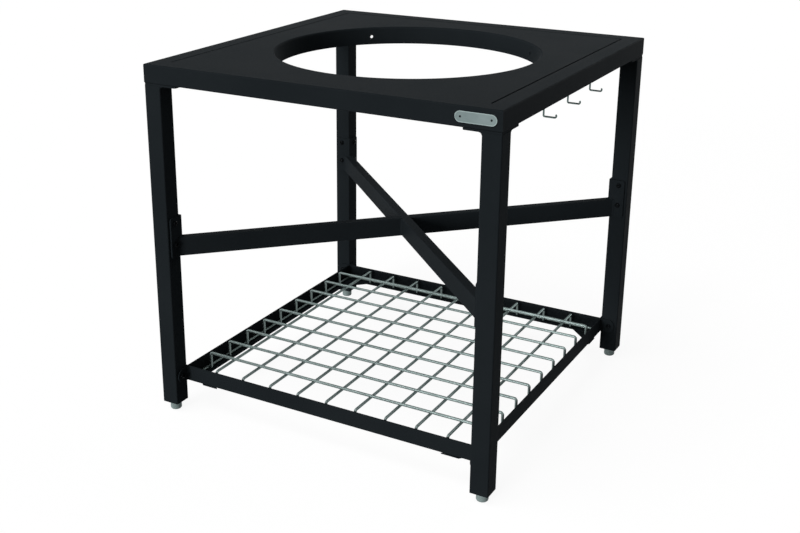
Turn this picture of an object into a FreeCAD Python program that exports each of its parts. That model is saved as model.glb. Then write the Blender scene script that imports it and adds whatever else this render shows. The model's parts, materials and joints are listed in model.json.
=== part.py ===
"""Kamado grill table: a square steel table on tube legs, with a round well in its top for the grill.

The top is four mitred square tubes round a sheet panel. A rolled collar lines the well. Each leg hangs
from a welded flange plate, and a flat cross of bars braces the four legs at mid height. Below lies a
shelf of angle bars that carries a lift-out wire grid. Every leg ends in a screw-in levelling foot.
Millimetres. The origin is on the floor under the middle of the table, +Z is up and the front faces -Y.
"""
import FreeCAD, Part
import math
import os

from FreeCAD import Vector

# Overall size
TABLE_WIDTH = 760.0
TABLE_DEPTH = 760.0
TABLE_HEIGHT = 753.0

# Square tube of the legs and the top rails
TUBE_SIZE = 38.0
TUBE_WALL = 2.0
TUBE_CORNER = 2.5

# Levelling feet
FOOT_HEIGHT = 20.0
FOOT_RADIUS = 12.0
FOOT_ROUNDING = 4.5
FOOT_TOP_CHAMFER = 0.8
FOOT_FLOOR = 4.5
STUD_RADIUS = 4.0
STUD_LENGTH = 46.0
STUD_TIP_CHAMFER = 1.0
STUD_CLEARANCE = 0.05
STUD_HEAD_RADIUS = 7.0
STUD_HEAD_HEIGHT = 5.0
SEAT_GAP = 0.3
INSERT_HEIGHT = 20.0

# Top panel, the ledges under it and the collar of the well
PANEL_THICKNESS = 3.0
PANEL_GAP = 2.0
PANEL_EDGE_ROUNDING = 0.6
LEDGE_WIDTH = 20.0
LEDGE_THICKNESS = 3.0
WELL_RADIUS = 272.0
COLLAR_WALL = 3.0
COLLAR_DEPTH = 38.0
COLLAR_RIM_RADIUS = 4.0
COLLAR_LAND = 2.0
COLLAR_HOLE_RADIUS = 3.5
COLLAR_HOLE_DROP = 21.0
COLLAR_HOLE_COUNT = 4

# Flange plate that carries each leg under the rails
FLANGE_THICKNESS = 4.0
FLANGE_REACH = 37.0
FLANGE_SETBACK = 1.0
FLANGE_CORNER_ROUNDING = 5.0
LEG_WELD = 5.0
LEG_WELD_TOE = 0.4

# Cross brace and the angle brackets that hold it
BRACE_HEIGHT = 40.0
BRACE_WIDTH = 20.0
BRACE_WALL = 2.0
BRACE_CORNER = 2.0
BRACE_BOTTOM = 351.0
BRACKET_HEIGHT = 86.0
BRACKET_WING = 36.0
BRACKET_THICKNESS = 4.0
BRACKET_WING_ROUNDING = 5.0
BRACKET_SCREW_HEIGHTS = (28.0, 74.0)

# Shelf frame of angle bars, with lugs and corner plates
SHELF_BOTTOM = 62.0
SHELF_BAR_HEIGHT = 35.0
SHELF_BAR_FLANGE = 21.0
SHELF_BAR_THICKNESS = 2.0
SHELF_BEND_RADIUS = 1.0
LUG_REACH = 32.0
LUG_WIDTH = 32.0
LUG_THICKNESS = 3.0
CORNER_PLATE_THICKNESS = 2.0
CORNER_PLATE_NEAR = 41.0
CORNER_PLATE_FAR = 78.0

# Wire grid
WIRE_RADIUS = 3.0
GRID_PITCH = 68.0
GRID_SIDE_GAP = 1.0
GRID_HEIGHT = 39.0
GRID_BEND_RADIUS = 4.5
GRID_RIM_CORNER = 12.0

# Screws and rivet nuts
SCREW_RADIUS = 3.0
SCREW_HEAD_RADIUS = 5.5
SCREW_HEAD_HEIGHT = 3.3
SCREW_HEAD_RIM = 0.8
SCREW_HEAD_FLAT_RADIUS = 2.2
SCREW_LENGTH = 16.0
FLANGE_SCREW_LENGTH = 18.0
HOLE_CLEARANCE = 0.2
NUT_RADIUS = 4.5
NUT_LENGTH = 11.0

# Utensil hooks under the right rail
HOOK_WIRE_RADIUS = 1.75
HOOK_PITCH = 125.0
HOOK_COUNT = 3
HOOK_INSET = 28.0
HOOK_DROP = 30.5
HOOK_REACH = 25.0
HOOK_ELBOW_RADIUS = 2.5
HOOK_CURL_RADIUS = 3.5
HOOK_CURL_TURN = 120.0
HOOK_TIP_LENGTH = 1.0
HOOK_SHANK_IN_RAIL = 8.0

# Badge plate on the front rail
BADGE_LENGTH = 78.0
BADGE_HEIGHT = 20.0
BADGE_THICKNESS = 1.2
BADGE_INSET = 49.0
BADGE_BORDER = 1.4
BADGE_RECESS = 0.3
BADGE_RIVET_SPACING = 58.0
BADGE_RIVET_RADIUS = 1.5
BADGE_RIVET_HEAD = 0.5

# Places worked out from the sizes above
HALF_W = TABLE_WIDTH / 2
HALF_D = TABLE_DEPTH / 2
INNER_X = HALF_W - TUBE_SIZE
INNER_Y = HALF_D - TUBE_SIZE
LEG_X = HALF_W - TUBE_SIZE / 2
LEG_Y = HALF_D - TUBE_SIZE / 2
RAIL_BOTTOM = TABLE_HEIGHT - TUBE_SIZE
LEG_TOP = RAIL_BOTTOM - FLANGE_THICKNESS
PANEL_BOTTOM = TABLE_HEIGHT - PANEL_THICKNESS
COLLAR_LAND_RADIUS = WELL_RADIUS + COLLAR_RIM_RADIUS + COLLAR_LAND
SHELF_FLOOR = SHELF_BOTTOM + SHELF_BAR_THICKNESS
SHELF_TOP = SHELF_BOTTOM + SHELF_BAR_HEIGHT
GRID_BOTTOM = SHELF_FLOOR + SEAT_GAP
LUG_CENTRE = SHELF_TOP - LUG_WIDTH / 2
BRACKET_SCREW_LEVELS = [BRACE_BOTTOM + height for height in BRACKET_SCREW_HEIGHTS]

X_AXIS = Vector(1, 0, 0)
Y_AXIS = Vector(0, 1, 0)
Z_AXIS = Vector(0, 0, 1)
ORIGIN = Vector(0, 0, 0)

# The four corners of the table, as the signs of X and Y
CORNERS = {
    "front_left": (-1, -1),
    "front_right": (1, -1),
    "back_left": (-1, 1),
    "back_right": (1, 1),
}


def box(x0, x1, y0, y1, z0, z1):
    """A block between two opposite corners."""
    return Part.makeBox(x1 - x0, y1 - y0, z1 - z0, Vector(x0, y0, z0))


def prism(points, bottom, top):
    """A flat outline in plan, raised from one level to another."""
    outline = [Vector(x, y, bottom) for x, y in points]
    face = Part.Face(Part.makePolygon(outline + outline[:1]))
    return face.extrude(Vector(0, 0, top - bottom))


def rod(centre, axis, radius, length):
    """A round bar that starts at a point and runs along an axis."""
    return Part.makeCylinder(radius, length, centre, axis)


def edges_along(shape, axis):
    """The straight edges of a shape that run along an axis."""
    found = []
    for edge in shape.Edges:
        if len(edge.Vertexes) == 2 and isinstance(edge.Curve, (Part.Line, Part.LineSegment)):
            run = edge.Vertexes[1].Point - edge.Vertexes[0].Point
            if run.cross(axis).Length < 1e-6 * run.Length:
                found.append(edge)
    return found


def heel_edge(block):
    """The upright edge of a block that stands nearest the middle of the table."""
    return [min(edges_along(block, Z_AXIS), key=lambda edge: edge.CenterOfMass.x + edge.CenterOfMass.y)]


def turned_to(shape, direction, position):
    """Move a shape made along +Z so that it points along a direction from a position."""
    turned = shape.copy()
    turned.Placement = FreeCAD.Placement(position, FreeCAD.Rotation(Z_AXIS, direction))
    return turned


def in_corner(shape, corner):
    """Mirror a piece made for the back right corner into another corner."""
    side_x, side_y = CORNERS[corner]
    placed = shape
    if side_x < 0:
        placed = placed.mirror(ORIGIN, X_AXIS)
    if side_y < 0:
        placed = placed.mirror(ORIGIN, Y_AXIS)
    return placed


def in_all_corners(shapes):
    """Copies of the back right corner's pieces in all four corners."""
    return [in_corner(shape, corner) for corner in CORNERS for shape in shapes]


def export(name, shapes):
    """Write one node, which is one solid or a group of separate solids."""
    solids = [solid for shape in shapes for solid in shape.Solids]
    for solid in solids:
        if not solid.isValid() or solid.Volume <= 0:
            raise ValueError("bad solid in " + name)
    body = solids[0] if len(solids) == 1 else Part.makeCompound(solids)
    body.exportStep("parts/" + name + ".step")
    print(name, len(solids), "solids", round(sum(solid.Volume for solid in solids) / 1000.0, 1), "cm3")


def wire_bend(corner, into, out, bend_radius, wire_radius):
    """The bend of a wire at a corner of its route, with the points where it starts and ends."""
    turn = into.getAngle(out)
    setback = bend_radius * math.tan(turn / 2)
    start = corner - into * setback
    end = corner + out * setback
    centre = corner + (out - into).normalize() * (bend_radius / math.cos(turn / 2))
    disc = Part.Face(Part.Wire(Part.makeCircle(wire_radius, start, into)))
    bend = disc.revolve(centre, into.cross(out), math.degrees(turn))
    return Part.Solid(bend), start, end


def wire_solid(points, bend_radii, wire_radius):
    """A round wire along straight runs, with a bend of its own radius at every corner."""
    pieces = []
    start = points[0]
    for i, bend_radius in enumerate(bend_radii, start=1):
        into = (points[i] - points[i - 1]).normalize()
        out = (points[i + 1] - points[i]).normalize()
        bend, bend_start, bend_end = wire_bend(points[i], into, out, bend_radius, wire_radius)
        pieces.append(rod(start, into, wire_radius, start.distanceToPoint(bend_start)))
        pieces.append(bend)
        start = bend_end
    into = (points[-1] - points[-2]).normalize()
    pieces.append(rod(start, into, wire_radius, start.distanceToPoint(points[-1])))
    return pieces[0].fuse(pieces[1:])


def section_lines(points):
    """Straight edges through points of a section, given as radius and height."""
    corners = [Vector(radius, 0, height) for radius, height in points]
    return [Part.LineSegment(corners[i], corners[i + 1]) for i in range(len(corners) - 1)]


def revolved(outline):
    """A round solid from half of its section, drawn in the XZ plane."""
    wire = Part.Wire([curve.toShape() for curve in outline])
    return Part.Solid(Part.Face(wire).revolve(ORIGIN, Z_AXIS, 360))


def button_screw(length):
    """A dome-headed screw: the head's seat is at the origin and the shank runs down."""
    rim = Vector(SCREW_HEAD_RADIUS, 0, SCREW_HEAD_RIM)
    crown = Vector(SCREW_HEAD_FLAT_RADIUS, 0, SCREW_HEAD_HEIGHT)
    middle = (rim + crown) / 2
    swell = Vector(crown.z - rim.z, 0, rim.x - crown.x) * (math.sqrt(0.5) - 0.5)
    outline = section_lines([
        (0, -length),
        (SCREW_RADIUS, -length),
        (SCREW_RADIUS, 0),
        (SCREW_HEAD_RADIUS, 0),
        (SCREW_HEAD_RADIUS, SCREW_HEAD_RIM),
    ])
    outline.append(Part.Arc(rim, middle + swell, crown))
    outline += section_lines([
        (SCREW_HEAD_FLAT_RADIUS, SCREW_HEAD_HEIGHT),
        (0, SCREW_HEAD_HEIGHT),
        (0, -length),
    ])
    return revolved(outline)


def rivet_nut():
    """A rivet nut seen from its mouth at the origin, with its body running down."""
    body = rod(Vector(0, 0, -NUT_LENGTH), Z_AXIS, NUT_RADIUS, NUT_LENGTH)
    bore = rod(Vector(0, 0, -NUT_LENGTH), Z_AXIS, SCREW_RADIUS, NUT_LENGTH)
    return body.cut(bore)


def tube_section(width, height, wall, corner):
    """The inner and outer blocks of a rounded box tube, centred on the origin and along +X."""
    reach = TABLE_WIDTH + TABLE_DEPTH
    outer = box(-reach / 2, reach / 2, -width / 2, width / 2, -height / 2, height / 2)
    outer = outer.makeFillet(corner, edges_along(outer, X_AXIS))
    inner = box(-reach / 2, reach / 2, -width / 2 + wall, width / 2 - wall,
                -height / 2 + wall, height / 2 - wall)
    return outer, inner


def leg_screw_places():
    """Where screws enter the back right leg: a point on its inner face and the way the head looks."""
    places = []
    for level in BRACKET_SCREW_LEVELS:
        places.append(("bracket", Vector(INNER_X, LEG_Y, level), Vector(-1, 0, 0)))
        places.append(("bracket", Vector(LEG_X, INNER_Y, level), Vector(0, -1, 0)))
    places.append(("lug", Vector(INNER_X, LEG_Y, LUG_CENTRE), Vector(-1, 0, 0)))
    places.append(("lug", Vector(LEG_X, INNER_Y, LUG_CENTRE), Vector(0, -1, 0)))
    return places


def flange_screw_places():
    """Where the two screws of the back right flange plate enter the rails from below."""
    return [
        Vector(INNER_X - FLANGE_REACH / 2, LEG_Y, RAIL_BOTTOM),
        Vector(LEG_X, INNER_Y - FLANGE_REACH / 2, RAIL_BOTTOM),
    ]


def hook_rows():
    """The Y place of each utensil hook."""
    first = -HOOK_PITCH * (HOOK_COUNT - 1) / 2
    return [first + HOOK_PITCH * i for i in range(HOOK_COUNT)]


def leg_outline():
    """The outer form of the back right leg, as a full block."""
    leg = box(INNER_X, HALF_W, INNER_Y, HALF_D, FOOT_HEIGHT, LEG_TOP)
    return leg.makeFillet(TUBE_CORNER, edges_along(leg, Z_AXIS))


def make_leg():
    """The square tube of the back right leg, drilled for its rivet nuts."""
    leg = leg_outline().cut(box(INNER_X + TUBE_WALL, HALF_W - TUBE_WALL, INNER_Y + TUBE_WALL,
                                HALF_D - TUBE_WALL, FOOT_HEIGHT, LEG_TOP))
    for _, mouth, outward in leg_screw_places():
        leg = leg.cut(rod(mouth - outward * TUBE_WALL, outward, NUT_RADIUS, TUBE_WALL))
    return leg


def make_rail(side):
    """One top rail with mitred ends. The front rail keeps a square edge where the panel meets it."""
    along_x = side in ("front", "back")
    half_length, half_other = (HALF_W, HALF_D) if along_x else (HALF_D, HALF_W)
    outer, inner = tube_section(TUBE_SIZE, TUBE_SIZE, TUBE_WALL, TUBE_CORNER)
    if side == "front":
        block = box(-half_length, half_length, 0, TUBE_SIZE / 2, 0, TUBE_SIZE / 2)
        outer = outer.fuse(block).removeSplitter()
    rail = outer.cut(inner)
    rail.translate(Vector(0, -half_other + TUBE_SIZE / 2, RAIL_BOTTOM + TUBE_SIZE / 2))
    trapezium = [
        (-half_length, -half_other),
        (half_length, -half_other),
        (half_length - TUBE_SIZE, -half_other + TUBE_SIZE),
        (-half_length + TUBE_SIZE, -half_other + TUBE_SIZE),
    ]
    rail = rail.common(prism(trapezium, RAIL_BOTTOM, TABLE_HEIGHT))
    turn = {"front": 0, "right": 90, "back": 180, "left": 270}[side]
    rail.rotate(ORIGIN, Z_AXIS, turn)
    return rail


def drill_rails(rails):
    """Drill the rails for the flange rivet nuts and, on the right, for the hooks."""
    mouths = [in_corner(Part.Vertex(place), corner).Point
              for corner in CORNERS for place in flange_screw_places()]
    for side, rail in rails.items():
        for mouth in mouths:
            rail = rail.cut(rod(mouth, Z_AXIS, NUT_RADIUS, TUBE_WALL))
        if side == "right":
            for row in hook_rows():
                seat = Vector(HALF_W - HOOK_INSET, row, RAIL_BOTTOM)
                rail = rail.cut(rod(seat, Z_AXIS, HOOK_WIRE_RADIUS, TUBE_WALL))
        rails[side] = rail
    return rails


def make_panel():
    """The sheet panel: a gap on three sides, flush against the front rail, with the well cut out."""
    x_edge = INNER_X - PANEL_GAP
    panel = box(-x_edge, x_edge, -INNER_Y, INNER_Y - PANEL_GAP, PANEL_BOTTOM, TABLE_HEIGHT)
    loose_edges = []
    for edge in edges_along(panel, X_AXIS) + edges_along(panel, Y_AXIS):
        centre = edge.CenterOfMass
        if abs(centre.z - TABLE_HEIGHT) < 1e-6 and centre.y > -INNER_Y + 1e-6:
            loose_edges.append(edge)
    panel = panel.makeFillet(PANEL_EDGE_ROUNDING, loose_edges)
    return panel.cut(rod(Vector(0, 0, PANEL_BOTTOM), Z_AXIS, COLLAR_LAND_RADIUS, PANEL_THICKNESS))


def make_ledges():
    """Flat strips inside the rails that carry the panel and close the gap beside it."""
    top = PANEL_BOTTOM
    bottom = PANEL_BOTTOM - LEDGE_THICKNESS
    side = box(INNER_X - LEDGE_WIDTH, INNER_X, -INNER_Y, INNER_Y, bottom, top)
    end = box(-INNER_X + LEDGE_WIDTH, INNER_X - LEDGE_WIDTH, INNER_Y - LEDGE_WIDTH, INNER_Y, bottom, top)
    return [side, side.mirror(ORIGIN, X_AXIS), end, end.mirror(ORIGIN, Y_AXIS)]


def make_collar():
    """The rolled band that lines the well, with its lip turned out flush with the panel."""
    bottom = TABLE_HEIGHT - COLLAR_DEPTH
    bend = COLLAR_RIM_RADIUS
    wall_outside = WELL_RADIUS + COLLAR_WALL
    arc_start = Vector(WELL_RADIUS, 0, TABLE_HEIGHT - bend)
    arc_end = Vector(WELL_RADIUS + bend, 0, TABLE_HEIGHT)
    centre = Vector(WELL_RADIUS + bend, 0, TABLE_HEIGHT - bend)
    arc_middle = centre + Vector(-bend, 0, bend) * math.sqrt(0.5)
    rim = Part.Arc(arc_start, arc_middle, arc_end)
    outline = section_lines([(WELL_RADIUS, bottom), (WELL_RADIUS, TABLE_HEIGHT - bend)]) + [rim]
    outline += section_lines([
        (WELL_RADIUS + bend, TABLE_HEIGHT),
        (COLLAR_LAND_RADIUS, TABLE_HEIGHT),
        (COLLAR_LAND_RADIUS, PANEL_BOTTOM),
        (wall_outside, PANEL_BOTTOM),
        (wall_outside, bottom),
        (WELL_RADIUS, bottom),
    ])
    collar = revolved(outline)
    for i in range(COLLAR_HOLE_COUNT):
        angle = 2 * math.pi * (i + 0.5) / COLLAR_HOLE_COUNT
        outward = Vector(math.cos(angle), math.sin(angle), 0)
        inside = outward * (WELL_RADIUS - COLLAR_WALL) + Vector(0, 0, TABLE_HEIGHT - COLLAR_HOLE_DROP)
        collar = collar.cut(rod(inside, outward, COLLAR_HOLE_RADIUS, 3 * COLLAR_WALL))
    return collar


def make_flange_plate():
    """The plate on top of the back right leg, with the weld fillet that runs round the leg's inner faces."""
    x0 = INNER_X - FLANGE_REACH
    y0 = INNER_Y - FLANGE_REACH
    x1 = HALF_W - FLANGE_SETBACK
    y1 = HALF_D - FLANGE_SETBACK
    plate = box(x0, x1, y0, y1, LEG_TOP, RAIL_BOTTOM)
    free_corners = [edge for edge in edges_along(plate, Z_AXIS)
                    if edge.CenterOfMass.x < INNER_X or edge.CenterOfMass.y < INNER_Y]
    plate = plate.makeFillet(FLANGE_CORNER_ROUNDING, free_corners)
    weld_corner = Vector(INNER_X - LEG_WELD, INNER_Y - LEG_WELD, LEG_TOP - LEG_WELD)
    weld = box(weld_corner.x, x1, weld_corner.y, y1, weld_corner.z, LEG_TOP).cut(leg_outline())
    for axis in (X_AXIS, Y_AXIS):
        weld = weld.cut(rod(weld_corner - axis * LEG_WELD, axis, LEG_WELD - LEG_WELD_TOE,
                            TUBE_SIZE + 3 * LEG_WELD))
    plate = plate.fuse(weld).removeSplitter()
    for place in flange_screw_places():
        hole_bottom = Vector(place.x, place.y, LEG_TOP)
        plate = plate.cut(rod(hole_bottom, Z_AXIS, SCREW_RADIUS + HOLE_CLEARANCE, FLANGE_THICKNESS))
    return plate


def make_foot_insert():
    """The threaded plug welded into the foot of the back right leg."""
    inset = TUBE_WALL
    plug = box(INNER_X + inset, HALF_W - inset, INNER_Y + inset, HALF_D - inset,
               FOOT_HEIGHT, FOOT_HEIGHT + INSERT_HEIGHT)
    bore = rod(Vector(LEG_X, LEG_Y, FOOT_HEIGHT), Z_AXIS, STUD_RADIUS + STUD_CLEARANCE, INSERT_HEIGHT)
    return plug.cut(bore)


def make_foot_pad():
    """A moulded pad with a rounded underside. The stud's head turns in a pocket inside it."""
    top = FOOT_HEIGHT - SEAT_GAP
    bore = STUD_RADIUS + STUD_CLEARANCE
    flat = FOOT_RADIUS - FOOT_ROUNDING
    pocket_radius = STUD_HEAD_RADIUS + SEAT_GAP
    pocket_top = FOOT_FLOOR + STUD_HEAD_HEIGHT + 2 * SEAT_GAP
    inset = FOOT_ROUNDING * (1 - math.sqrt(0.5))
    underside = Part.Arc(Vector(flat, 0, 0), Vector(FOOT_RADIUS - inset, 0, inset),
                         Vector(FOOT_RADIUS, 0, FOOT_ROUNDING))
    outline = section_lines([(0, 0), (flat, 0)]) + [underside] + section_lines([
        (FOOT_RADIUS, FOOT_ROUNDING),
        (FOOT_RADIUS, top - FOOT_TOP_CHAMFER),
        (FOOT_RADIUS - FOOT_TOP_CHAMFER, top),
        (bore, top),
        (bore, pocket_top),
        (pocket_radius, pocket_top),
        (pocket_radius, FOOT_FLOOR),
        (0, FOOT_FLOOR),
        (0, 0),
    ])
    pad = revolved(outline)
    pad.translate(Vector(LEG_X, LEG_Y, 0))
    return pad


def make_foot_stud():
    """The threaded stud of a foot, from its round head in the pad up into the leg."""
    bottom = FOOT_FLOOR + SEAT_GAP
    top = bottom + STUD_LENGTH
    stud = revolved(section_lines([
        (0, bottom),
        (STUD_HEAD_RADIUS, bottom),
        (STUD_HEAD_RADIUS, bottom + STUD_HEAD_HEIGHT),
        (STUD_RADIUS, bottom + STUD_HEAD_HEIGHT),
        (STUD_RADIUS, top - STUD_TIP_CHAMFER),
        (STUD_RADIUS - STUD_TIP_CHAMFER, top),
        (0, top),
        (0, bottom),
    ]))
    stud.translate(Vector(LEG_X, LEG_Y, 0))
    return stud


def make_bracket():
    """The angle bracket round the back right leg's inner corner, drilled for two screws a wing."""
    x0 = INNER_X - BRACKET_THICKNESS
    y0 = INNER_Y - BRACKET_THICKNESS
    top = BRACE_BOTTOM + BRACKET_HEIGHT
    angle = box(x0, x0 + BRACKET_WING, y0, y0 + BRACKET_WING, BRACE_BOTTOM, top)
    angle = angle.makeFillet(BRACKET_THICKNESS / 2, heel_edge(angle))
    angle = angle.cut(box(INNER_X, x0 + BRACKET_WING, INNER_Y, y0 + BRACKET_WING, BRACE_BOTTOM, top))
    wing_ends = []
    for edge in edges_along(angle, X_AXIS) + edges_along(angle, Y_AXIS):
        centre = edge.CenterOfMass
        at_tip = centre.x > x0 + BRACKET_WING - 1e-6 or centre.y > y0 + BRACKET_WING - 1e-6
        if at_tip and edge.Length < BRACKET_THICKNESS + 1e-6:
            wing_ends.append(edge)
    angle = angle.makeFillet(BRACKET_WING_ROUNDING, wing_ends)
    for kind, mouth, outward in leg_screw_places():
        if kind == "bracket":
            angle = angle.cut(rod(mouth, outward, SCREW_RADIUS + HOLE_CLEARANCE, BRACKET_THICKNESS))
    return angle


def brace_bar(turn):
    """A hollow bar across the whole table at the brace's level, before its ends are notched."""
    outer, inner = tube_section(BRACE_WIDTH, BRACE_HEIGHT, BRACE_WALL, BRACE_CORNER)
    bar = outer.cut(inner)
    bar.rotate(ORIGIN, Z_AXIS, turn)
    bar.translate(Vector(0, 0, BRACE_BOTTOM + BRACE_HEIGHT / 2))
    return bar


def make_brace():
    """The flat cross: one through bar and two half bars welded to its sides, notched for the brackets."""
    corner_x = INNER_X - BRACKET_THICKNESS
    corner_y = INNER_Y - BRACKET_THICKNESS
    slope = math.degrees(math.atan2(corner_y, corner_x))
    far = TABLE_WIDTH + TABLE_DEPTH
    top = BRACE_BOTTOM + BRACE_HEIGHT
    block = box(corner_x, far, corner_y, far, BRACE_BOTTOM, top)
    block = block.makeFillet(BRACKET_THICKNESS / 2, heel_edge(block))
    corners = in_all_corners([block])
    through = brace_bar(-slope)
    other = brace_bar(slope)
    for block in corners:
        through = through.cut(block)
        other = other.cut(block)
    side = math.radians(-slope)
    normal = Vector(-math.sin(side), math.cos(side), 0)
    core = Part.makeBox(far, BRACE_WIDTH, BRACE_HEIGHT, Vector(-far / 2, -BRACE_WIDTH / 2, 0))
    core.rotate(ORIGIN, Z_AXIS, -slope)
    core.translate(Vector(0, 0, BRACE_BOTTOM))
    halves = sorted(other.cut(core).Solids, key=lambda solid: solid.CenterOfMass.dot(normal))
    return through, halves[0], halves[-1]


def make_shelf_bar(side):
    """One bent angle bar of the shelf frame, upright web outside and flange inwards, mitred at its ends."""
    along_x = side in ("front", "back")
    half_length, half_other = (INNER_X, INNER_Y) if along_x else (INNER_Y, INNER_X)
    outside = -half_other
    web = box(-half_length, half_length, outside, outside + SHELF_BAR_THICKNESS, SHELF_BOTTOM, SHELF_TOP)
    flange = box(-half_length, half_length, outside, outside + SHELF_BAR_FLANGE, SHELF_BOTTOM, SHELF_FLOOR)
    bar = web.fuse(flange).removeSplitter()
    heel = []
    throat = []
    for edge in edges_along(bar, X_AXIS):
        across = edge.CenterOfMass.y - outside
        rise = edge.CenterOfMass.z - SHELF_BOTTOM
        if across + rise < 1e-6:
            heel.append(edge)
        if abs(across - SHELF_BAR_THICKNESS) + abs(rise - SHELF_BAR_THICKNESS) < 1e-6:
            throat.append(edge)
    bar = bar.makeFillet(SHELF_BEND_RADIUS + SHELF_BAR_THICKNESS, heel)
    throat = [edge for edge in edges_along(bar, X_AXIS)
              if (edge.CenterOfMass - throat[0].CenterOfMass).Length < 1e-6]
    bar = bar.makeFillet(SHELF_BEND_RADIUS, throat)
    trapezium = [
        (-half_length, outside),
        (half_length, outside),
        (half_length - SHELF_BAR_FLANGE, outside + SHELF_BAR_FLANGE),
        (-half_length + SHELF_BAR_FLANGE, outside + SHELF_BAR_FLANGE),
    ]
    bar = bar.common(prism(trapezium, SHELF_BOTTOM, SHELF_TOP))
    turn = {"front": 0, "right": 90, "back": 180, "left": 270}[side]
    bar.rotate(ORIGIN, Z_AXIS, turn)
    return bar


def make_lugs():
    """The two round-ended lugs of the back right corner, each flat against one inner face of the leg."""
    radius = LUG_WIDTH / 2
    end = LUG_REACH - radius
    low = LUG_CENTRE - radius
    high = LUG_CENTRE + radius
    beside_x = box(INNER_X, INNER_X + end, INNER_Y - LUG_THICKNESS, INNER_Y, low, high)
    round_x = rod(Vector(INNER_X + end, INNER_Y - LUG_THICKNESS, LUG_CENTRE), Y_AXIS, radius, LUG_THICKNESS)
    beside_y = box(INNER_X - LUG_THICKNESS, INNER_X, INNER_Y, INNER_Y + end, low, high)
    round_y = rod(Vector(INNER_X - LUG_THICKNESS, INNER_Y + end, LUG_CENTRE), X_AXIS, radius, LUG_THICKNESS)
    clear_of_frame_x = box(INNER_X - radius, INNER_X, INNER_Y - LUG_THICKNESS, INNER_Y, low, high)
    clear_of_frame_y = box(INNER_X - LUG_THICKNESS, INNER_X, INNER_Y - radius, INNER_Y, low, high)
    lugs = [
        beside_x.fuse(round_x.cut(clear_of_frame_x)).removeSplitter(),
        beside_y.fuse(round_y.cut(clear_of_frame_y)).removeSplitter(),
    ]
    drilled = []
    for lug in lugs:
        for kind, mouth, outward in leg_screw_places():
            if kind == "lug":
                lug = lug.cut(rod(mouth, outward, SCREW_RADIUS + HOLE_CLEARANCE, LUG_THICKNESS))
        drilled.append(lug)
    return drilled


def make_corner_plate():
    """The flat strip welded across the back right corner under the shelf frame."""
    outline = [
        (INNER_X - CORNER_PLATE_FAR, INNER_Y),
        (INNER_X, INNER_Y - CORNER_PLATE_FAR),
        (INNER_X, INNER_Y - CORNER_PLATE_NEAR),
        (INNER_X - CORNER_PLATE_NEAR, INNER_Y),
    ]
    return prism(outline, SHELF_BOTTOM - CORNER_PLATE_THICKNESS, SHELF_BOTTOM)


def grid_lines(span):
    """The places of the parallel wires, counted from the middle of the grid."""
    each_side = int(span // GRID_PITCH)
    return [GRID_PITCH * i for i in range(-each_side, each_side + 1)]


def grid_wire(end, level, lengthways):
    """One wire of the grid, bent down at both ends. Its ends are given as a point and its mirror image."""
    other = end - lengthways * (2 * end.dot(lengthways))
    return wire_solid([
        Vector(other.x, other.y, GRID_BOTTOM),
        Vector(other.x, other.y, level),
        Vector(end.x, end.y, level),
        Vector(end.x, end.y, GRID_BOTTOM),
    ], [GRID_BEND_RADIUS] * 2, WIRE_RADIUS)


def make_grid():
    """The wire grid: upper wires along X, lower wires along Y, all bent down at the ends to a rim wire."""
    upper_level = GRID_BOTTOM + GRID_HEIGHT - WIRE_RADIUS
    lower_level = upper_level - 2 * WIRE_RADIUS
    rim_x = INNER_X - SHELF_BAR_THICKNESS - GRID_SIDE_GAP - WIRE_RADIUS
    rim_y = INNER_Y - SHELF_BAR_THICKNESS - GRID_SIDE_GAP - WIRE_RADIUS
    span_x = rim_x - 2 * WIRE_RADIUS
    span_y = rim_y - 2 * WIRE_RADIUS
    upper = [grid_wire(Vector(span_x, line, 0), upper_level, X_AXIS) for line in grid_lines(span_y)]
    lower = [grid_wire(Vector(line, span_y, 0), lower_level, Y_AXIS) for line in grid_lines(span_x)]
    rim_level = GRID_BOTTOM + WIRE_RADIUS
    start = Vector(0, -rim_y, rim_level)
    rim = wire_solid([
        start,
        Vector(rim_x, -rim_y, rim_level),
        Vector(rim_x, rim_y, rim_level),
        Vector(-rim_x, rim_y, rim_level),
        Vector(-rim_x, -rim_y, rim_level),
        start,
    ], [GRID_RIM_CORNER] * 4, WIRE_RADIUS)
    return upper, lower, rim


def make_hooks():
    """Wire hooks that hang through the underside of the right rail, with a curled tip towards the outside."""
    hooks = []
    shank_x = HALF_W - HOOK_INSET
    level = RAIL_BOTTOM - HOOK_DROP
    turn = math.radians(HOOK_CURL_TURN)
    setback = HOOK_CURL_RADIUS * math.tan(turn / 2)
    curl_x = shank_x + HOOK_REACH - HOOK_CURL_RADIUS + setback
    curled = Vector(math.cos(turn), 0, math.sin(turn))
    for row in hook_rows():
        curl_corner = Vector(curl_x, row, level)
        hooks.append(wire_solid([
            Vector(shank_x, row, RAIL_BOTTOM + HOOK_SHANK_IN_RAIL),
            Vector(shank_x, row, level),
            curl_corner,
            curl_corner + curled * (setback + HOOK_TIP_LENGTH),
        ], [HOOK_ELBOW_RADIUS, HOOK_CURL_RADIUS], HOOK_WIRE_RADIUS))
    return hooks


def stadium(length, height, thickness, front):
    """A plate with round ends that stands on the front face of the front rail."""
    straight = length - height
    middle = Part.makeBox(straight, thickness, height, Vector(-straight / 2, -front, -height / 2))
    left = rod(Vector(-straight / 2, -front, 0), Y_AXIS, height / 2, thickness)
    right = rod(Vector(straight / 2, -front, 0), Y_AXIS, height / 2, thickness)
    return middle.fuse([left, right]).removeSplitter()


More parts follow.
